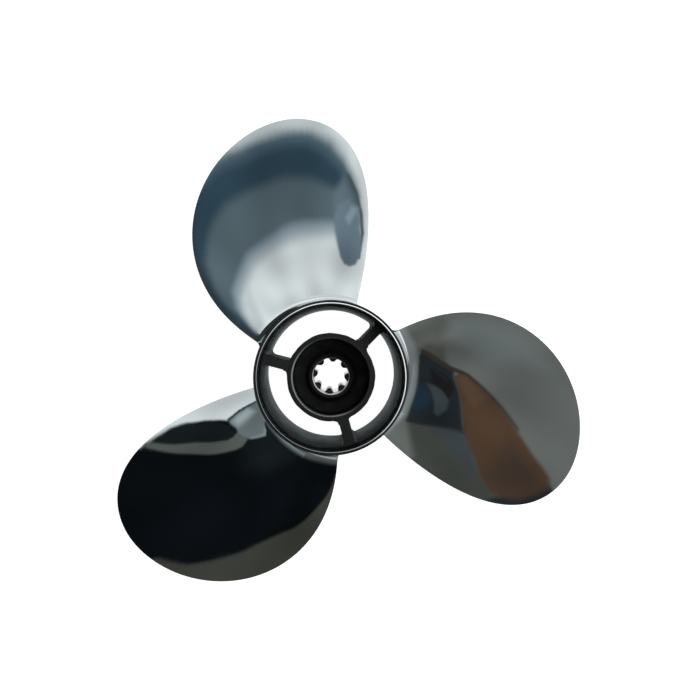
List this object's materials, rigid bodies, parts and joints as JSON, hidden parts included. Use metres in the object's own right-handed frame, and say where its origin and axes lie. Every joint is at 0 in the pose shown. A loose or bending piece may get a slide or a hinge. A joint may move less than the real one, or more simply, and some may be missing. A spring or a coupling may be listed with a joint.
{
  "type": "outboard motor propeller",
  "caption": "Screw propeller of a small outboard motor, with broad polished blades on a short exhaust barrel, and a ribbed inner hub that holds a rubber bush and a splined sleeve.",
  "frame": {"origin": "on the shaft axis, in the plane of the barrel's flat front face, which it stands on", "axes": "+Z along the shaft towards the aft end; +Y towards the middle of blade_1, the top blade of the picture; +X to the right in the view from aft"},
  "size_m": [0.2099, 0.2068, 0.085],
  "materials": {
    "blade_steel": "polished",
    "hub_steel": "satin",
    "core_steel": "satin",
    "bush_rubber": "matte",
    "sleeve_metal": "satin"
  },
  "bodies": {
    "root": {"outer_hub": "hub_steel", "blade_1": "blade_steel", "blade_2": "blade_steel", "blade_3": "blade_steel", "rib_1": "core_steel", "rib_2": "core_steel", "rib_3": "core_steel", "inner_hub": "core_steel", "rubber_bush": "bush_rubber", "splined_sleeve": "sleeve_metal"}
  },
  "joints": []
}
